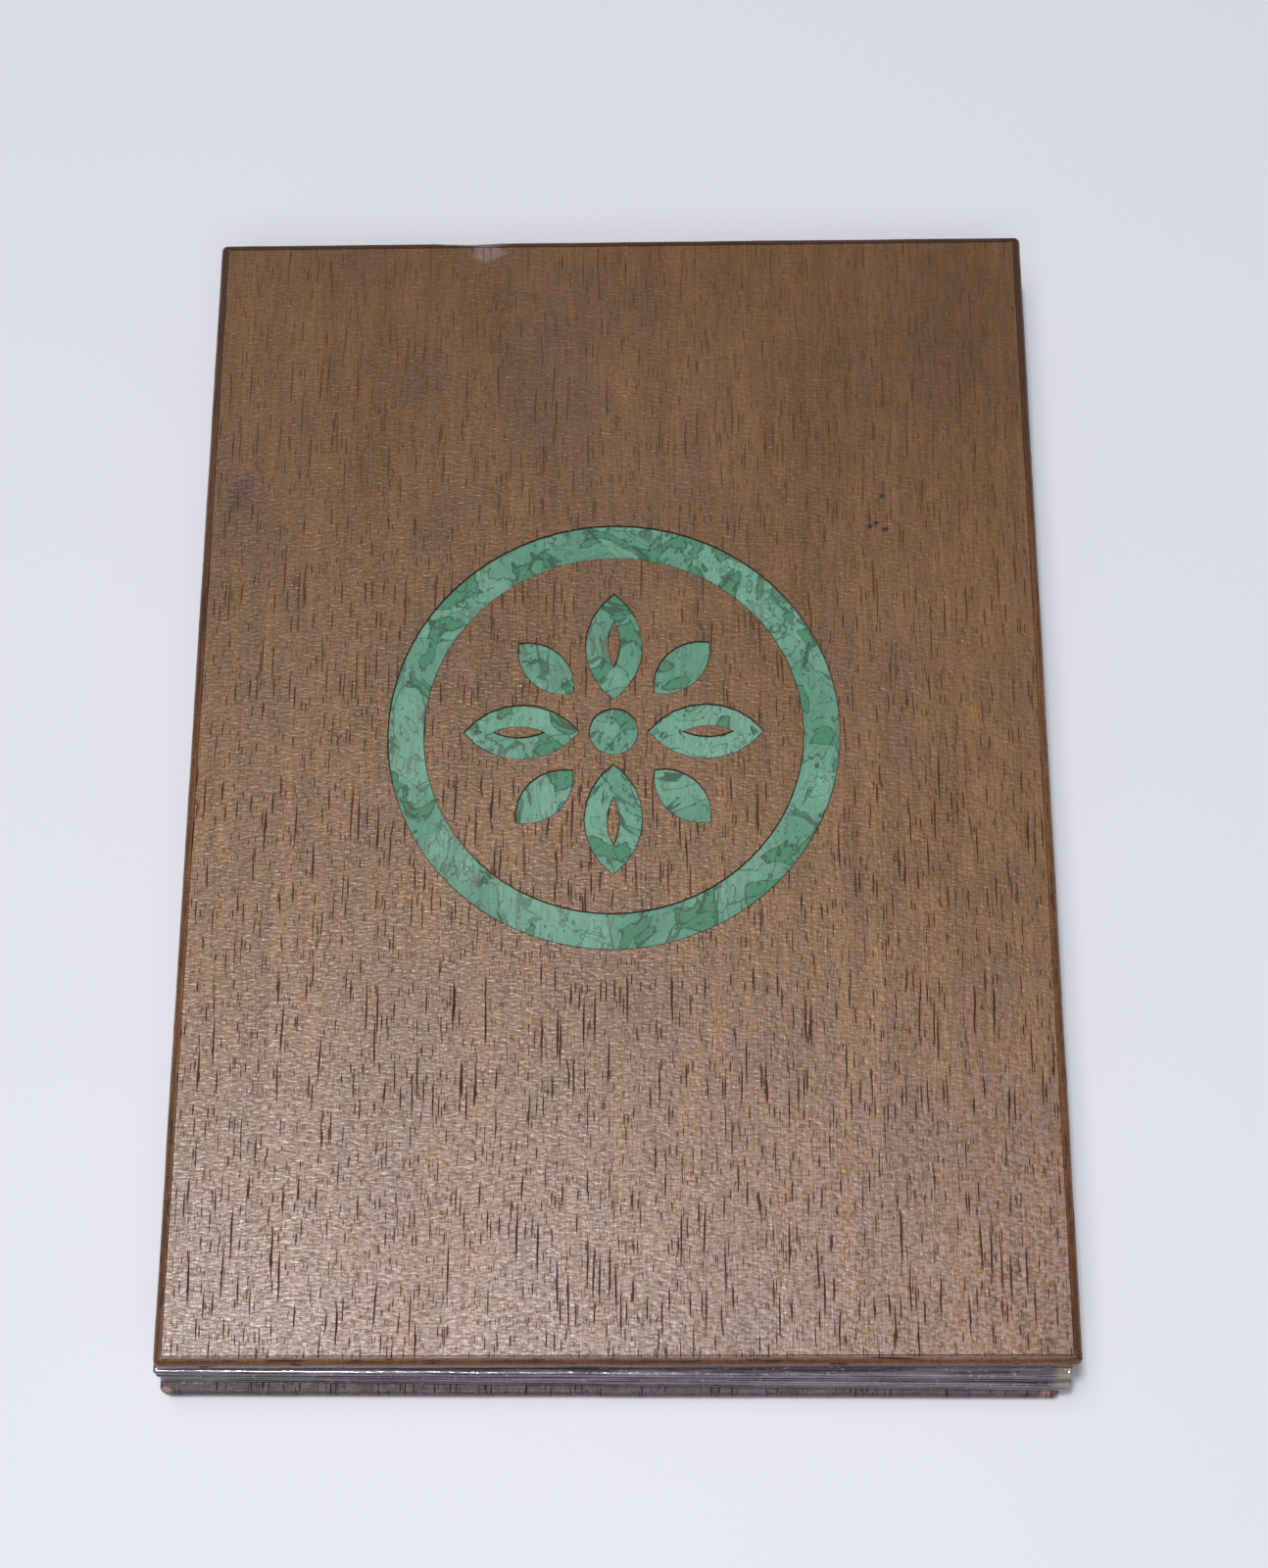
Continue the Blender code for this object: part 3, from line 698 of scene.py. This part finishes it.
def boards():
    """Both cover boards and the inlay."""
    chip_x = CHIP_SHARE * Lay("front_lipping").width
    edge_band("front_edge_band", "front_lipping", "front_cover", True, FRONT_BAND, chip_x)
    edge_band("back_edge_band", "back_lipping", "back_cover", False, BACK_BAND)
    for node in ("front_face_veneer", "front_face_roundel"):
        dress(node, FACE_WOOD, FACE_BEVEL)
    for node in ("front_inner_veneer", "back_face_veneer", "back_inner_veneer"):
        dress(node, BACK_WOOD, INNER_BEVEL)
    for node in ("front_core", "back_core"):
        dress(node, PLY)
    for node in frame["nodes"]:
        if node.startswith("petal_island"):
            dress(node, FACE_WOOD, FACE_BEVEL)
        elif node.startswith("inlay_"):
            dress(node, PATINA, INLAY_BEVEL)


# ---------------------------------------------------------------- leaves

def bead_profile():
    """A welded frame's section: inset from the edge, and height from the middle plane."""
    upper = []
    for step in range(BEAD_STEPS + 1):
        angle = math.radians(90 * step / BEAD_STEPS)
        upper.append((BEAD_RADIUS * (1 - math.cos(angle)), BEAD_RADIUS * math.sin(angle)))
    upper += [
        (1.5 * BEAD_RADIUS, 0.96 * BEAD_RADIUS), (2.2 * BEAD_RADIUS, 0.62 * BEAD_RADIUS),
        (3.0 * BEAD_RADIUS, 0.60 * BEAD_RADIUS), (3.6 * BEAD_RADIUS, 0.80 * BEAD_RADIUS),
        (FRAME_WIDTH - FRAME_STEP, 0.80 * BEAD_RADIUS), (FRAME_WIDTH, 0.62 * BEAD_RADIUS),
    ]
    return upper + [(inset, -height) for inset, height in reversed(upper[1:])]


def leaf_frame(number, lay):
    """The welded, smoke-dark frame of one pocket."""
    middle = (lay.low + lay.high) / 2
    rings = []
    for rim in outline(lay.width, lay.length, LEAF_CORNER, FRAME_SPACING):
        x, y = rim.x, rim.y
        sway = 0.28 * MM * ripple(x, y, 0.0, 30.0, 11.0 * number)
        sway += 0.10 * MM * ripple(x, y, 0.0, 160.0, number)
        lift = 0.15 * MM * ripple(x, y, 0.0, 55.0, 7.0 * number)
        ring = []
        for inset, height in bead_profile():
            ease = max(0.0, 1.0 - inset / FRAME_WIDTH)
            ring.append(lay.at(*rim.inset(inset + abs(sway) * ease), middle + height + lift * ease))
        rings.append(ring)
    piece = loft(f"leaf_{number}_frame", rings, [VINYL], closed=True, sharp=60.0)
    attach(piece, f"leaf_{number}")
    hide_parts(f"leaf_{number}_sleeve")


def slab(name, columns, rows, top, bottom, materials):
    """A closed slab between two surfaces given as functions of two shares from 0 to 1."""
    points = []
    for surface in (top, bottom):
        for row in range(rows + 1):
            for column in range(columns + 1):
                points.append(surface(column / columns, row / rows))
    layer = (rows + 1) * (columns + 1)
    faces = []
    for row in range(rows):
        for column in range(columns):
            a = row * (columns + 1) + column
            quad = (a, a + 1, a + columns + 2, a + columns + 1)
            faces.append(quad)
            faces.append(tuple(layer + index for index in reversed(quad)))
    rim = list(range(columns + 1))
    rim += [row * (columns + 1) + columns for row in range(1, rows + 1)]
    rim += [rows * (columns + 1) + column for column in range(columns - 1, -1, -1)]
    rim += [row * (columns + 1) for row in range(rows - 1, 0, -1)]
    for here, there in zip(rim, rim[1:] + rim[:1]):
        faces.append((there, here, layer + here, layer + there))
    return new_piece(name, points, faces, materials, sharp=50.0)


def leaf_window(number, lay):
    """The clear film over and under the card, a little wavy."""
    middle = (lay.low + lay.high) / 2
    width = lay.width - 2 * FRAME_WIDTH + FILM_LAP
    length = lay.length - 2 * FRAME_WIDTH + FILM_LAP

    def surface(side):
        def point(s, t):
            u, v = (s - 0.5) * width, (t - 0.5) * length
            wave = FILM_WAVE * ripple(u, v, 0.0, 26.0, 5.0 * number + side)
            return lay.at(u, v, middle + side * (FILM_HALF - FILM_WAVE) + wave)
        return point

    piece = slab(f"leaf_{number}_window", FILM_COLUMNS, FILM_ROWS, surface(1), surface(-1), [FILM])
    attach(piece, f"leaf_{number}")


def neck_path(start, crease, clamp, far, leaf_z, margin_z):
    """The neck's middle line in Y and Z: level, down beside the clamp, and level under it."""
    points = [(start + (crease - start) * step / LEVEL_STEPS, leaf_z) for step in range(LEVEL_STEPS)]
    for step in range(DROP_STEPS + 1):
        share = step / DROP_STEPS
        drop = share * share * (3 - 2 * share)
        points.append((crease + (clamp - crease) * share, leaf_z + (margin_z - leaf_z) * drop))
    for step in range(1, CLAMP_STEPS + 1):
        points.append((clamp + (far - clamp) * step / CLAMP_STEPS, margin_z))
    return points


def leaf_neck(number, lay):
    """The soft neck and the margin in one sheet, creased where the leaf turns."""
    margin_low, margin_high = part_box(f"leaf_{number}_margin")
    margin_z = (margin_low.z + margin_high.z) / 2
    leaf_z = (lay.low + lay.high) / 2
    near_v = lay.length / 2 - NECK_LAP
    start = lay.at(0.0, near_v, 0.0).y
    turn_y = TURNS[f"leaf_{number}_turn"]
    width = lay.width - 2 * MM
    path = neck_path(start, turn_y + CREASE, margin_low.y, margin_high.y, leaf_z, margin_z)
    last = len(path) - 1

    def surface(side):
        def point(s, t):
            index = round(t * last)
            y, z = path[index]
            before, after = path[max(0, index - 1)], path[min(last, index + 1)]
            along = Vector((after[0] - before[0], after[1] - before[1])).normalized()
            here = lay.at((s - 0.5) * width, near_v, leaf_z)
            skew = (here.y - start) * max(0.0, 1.0 - index / LEVEL_STEPS)
            half = side * NECK_THICK / 2
            return Vector((here.x, y + skew - along.y * half, z + along.x * half))
        return point

    piece = slab(f"leaf_{number}_neck", NECK_COLUMNS, last, surface(1), surface(-1), [VINYL])
    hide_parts(f"leaf_{number}_margin")
    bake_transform(piece)


def leaves():
    """All the pocket leaves and their cards."""
    for number in range(1, LEAVES + 1):
        lay = Lay(f"leaf_{number}_sleeve")
        leaf_frame(number, lay)
        leaf_window(number, lay)
        leaf_neck(number, lay)
        dress(f"leaf_{number}_card", CARD, CARD_BEVEL)


# ---------------------------------------------------------------- binding and hinge

def strip(name, path, half_width):
    """A leather strip laid along a path of places and normals in Y and Z, across X."""
    rings = []
    for step in range(STRIP_STEPS + 1):
        x = -half_width + 2 * half_width * step / STRIP_STEPS
        ring = []
        for side in (1, -1):
            line = path if side > 0 else list(reversed(path))
            for y, z, ny, nz in line:
                swell = 0.05 * MM * ripple(x, y, z, 60.0, 4.0)
                half = side * (LEATHER_THICK / 2 + swell * 0.5)
                ring.append(Vector((x, y + ny * half, z + nz * half)))
        rings.append(ring)
    return loft(name, rings, [LEATHER], closed=False, sharp=45.0)


def fold_path(flange, level, spine_y, middle_z, up):
    """From the flange's near end, round the fold and along the spine to its middle."""
    path = []
    way = 1.0 if up else -1.0
    near, far = flange
    for step in range(FLAT_STEPS + 1):
        path.append((near + (far - near) * step / FLAT_STEPS, level, 0.0, way))
    radius = spine_y - far
    for step in range(1, FOLD_STEPS):
        angle = math.radians(90 * step / FOLD_STEPS)
        path.append((far + radius * math.sin(angle), level + way * radius * (1 - math.cos(angle)),
                     -math.sin(angle), way * math.cos(angle)))
    foot = level + way * radius
    for step in range(FLAT_STEPS + 1):
        path.append((spine_y, foot + (middle_z - foot) * step / FLAT_STEPS, -1.0, 0.0))
    return path


def hinge():
    """The leather hinge as two strips that meet at the middle of the spine."""
    spine_low, spine_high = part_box("hinge_spine")
    spine_y = (spine_low.y + spine_high.y) / 2
    middle = (spine_low.z + spine_high.z) / 2
    half_width = (spine_high.x - spine_low.x) / 2
    for flange, pair, way in (
        ("hinge_back_flange", ("back_cover", "spine"), 1),
        ("hinge_front_flange", ("spine", "front_cover"), -1),
    ):
        low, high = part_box(flange)
        level = (low.z + high.z) / 2
        reach = (low.y, spine_y - FOLD_ROUND)
        path = fold_path(reach, level, spine_y, middle - way * SPINE_SEAM, way > 0)
        piece = strip("leather_" + ("lower" if way > 0 else "upper"), path, half_width)
        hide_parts(flange)
        if way > 0:
            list(pair)
            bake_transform(piece)
            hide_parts("hinge_spine")
        else:
            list(pair)
            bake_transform(piece)


def binding():
    """The clamp bar and the screw posts."""
    dress("binding_bar", ALUMINIUM, BAR_BEVEL, 3)
    for number in range(1, POSTS + 1):
        dress(f"post_barrel_{number}", STEEL, POST_BEVEL, 3)
        dress(f"post_screw_{number}", STEEL, POST_BEVEL, 3)


# ---------------------------------------------------------------- stage

def light(name, kind, energy, colour, aim):
    """A lamp of one kind that shines along a direction."""
    data = bpy.data.lights.new(name, kind)
    data.energy = energy
    data.color = colour
    lamp = bpy.data.objects.new(name, data)
    lamp.rotation_euler = Vector(aim).to_track_quat("-Z", "Y").to_euler()
    bpy.context.scene.collection.objects.link(lamp)
    return lamp


def stage():
    """Table, lights, world and camera."""
    floor_z = CAD_LOW.z - TABLE_DROP
    signs = ((-1, -1), (1, -1), (1, 1), (-1, 1))
    corners = [(TABLE_REACH * x, TABLE_REACH * y, floor_z) for x, y in signs]
    table = new_piece("table", corners, [(0, 1, 2, 3)], [table_top()], sharp=40.0)

    world = bpy.data.worlds.new("soft_room")
    world.use_nodes = True
    sky = world.node_tree.nodes["Background"]
    sky.inputs["Color"].default_value = ROOM_COLOUR
    sky.inputs["Strength"].default_value = ROOM_POWER
    bpy.context.scene.world = world

    for name, place, size, power, colour in LAMPS:
        lamp = light(name, "AREA", power, colour, -Vector(place))
        lamp.location = place
        lamp.data.shape = "RECTANGLE"
        lamp.data.size, lamp.data.size_y = size
    sun = light("overhead", "SUN", SUN_POWER, SUN_COLOUR, SUN_WAY)
    sun.data.angle = math.radians(SUN_SPREAD)

    data = bpy.data.cameras.new("camera")
    data.lens = CAMERA_LENS
    data.sensor_fit = "AUTO"
    data.sensor_width = 36.0
    data.clip_start = 0.01
    data.clip_end = 20.0
    camera = bpy.data.objects.new("camera", data)
    turn = Matrix.Rotation(math.radians(CAMERA_YAW), 4, "Z")
    turn = turn @ Matrix.Rotation(math.radians(CAMERA_TILT), 4, "X")
    turn = turn @ Matrix.Rotation(math.radians(CAMERA_ROLL), 4, "Z")
    camera.matrix_world = Matrix.Translation(CAMERA_PLACE) @ turn
    bpy.context.scene.collection.objects.link(camera)
    bpy.context.scene.camera = camera
    bpy.context.scene.view_settings.view_transform = "Standard"


boards()
leaves()
binding()
hinge()
stage()
